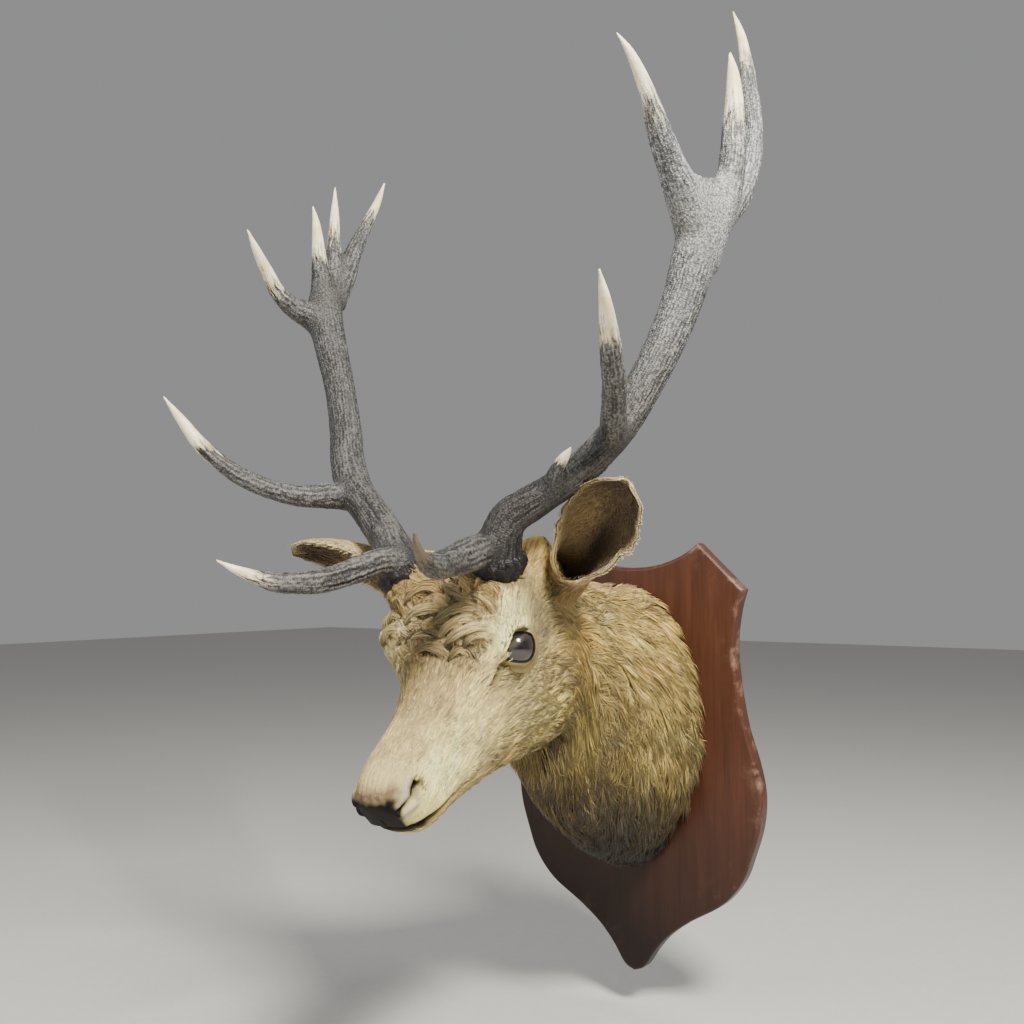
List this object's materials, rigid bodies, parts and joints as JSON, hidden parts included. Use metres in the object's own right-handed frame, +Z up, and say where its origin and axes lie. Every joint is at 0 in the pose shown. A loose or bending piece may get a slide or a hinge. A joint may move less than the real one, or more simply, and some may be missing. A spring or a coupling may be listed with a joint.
{
  "type": "red deer stag head mount",
  "caption": "Mounted head and neck of a red deer stag with branched antlers, spread ears and glass eyes on a shield-shaped wall board.",
  "frame": {"origin": "centre of the board's flat back face, on the wall", "axes": "+X to the stag's left, +Y into the wall, +Z up; the stag looks along -Y"},
  "size_m": [0.6863, 0.6778, 1.3444],
  "materials": {
    "coat": "short fawn face hair, longer golden-brown neck hair lying down and back",
    "ear_skin": "thin dried skin with short pale hair and ragged rim",
    "nose_skin": "dark pebbled nose pad, satin",
    "antler_bone": "grey-brown pearled bone with worn ivory tips",
    "eye_glass": "dark brown glass with a faint grey film",
    "board_wood": "mahogany-stained satin varnish, worn arrises"
  },
  "bodies": {
    "root": {"board": "board_wood", "neck": "coat", "head": "coat", "muzzle": "coat", "lower_jaw": "coat", "nose_pad": "nose_skin", "eye_left": "eye_glass", "eye_right": "eye_glass", "ear_left": "ear_skin", "ear_right": "ear_skin", "antler_left_beam_lower": "antler_bone", "antler_left_beam_upper": "antler_bone", "antler_left_brow_tine": "antler_bone", "antler_left_bez_tine": "antler_bone", "antler_left_tray_tine": "antler_bone", "antler_left_crown_middle": "antler_bone", "antler_left_crown_front": "antler_bone", "antler_left_crown_back": "antler_bone", "antler_right_beam_lower": "antler_bone", "antler_right_beam_upper": "antler_bone", "antler_right_brow_tine": "antler_bone", "antler_right_bez_tine": "antler_bone", "antler_right_tray_tine": "antler_bone", "antler_right_crown_middle": "antler_bone", "antler_right_crown_front": "antler_bone", "antler_right_crown_outer": "antler_bone", "antler_right_crown_back": "antler_bone"}
  },
  "joints": []
}
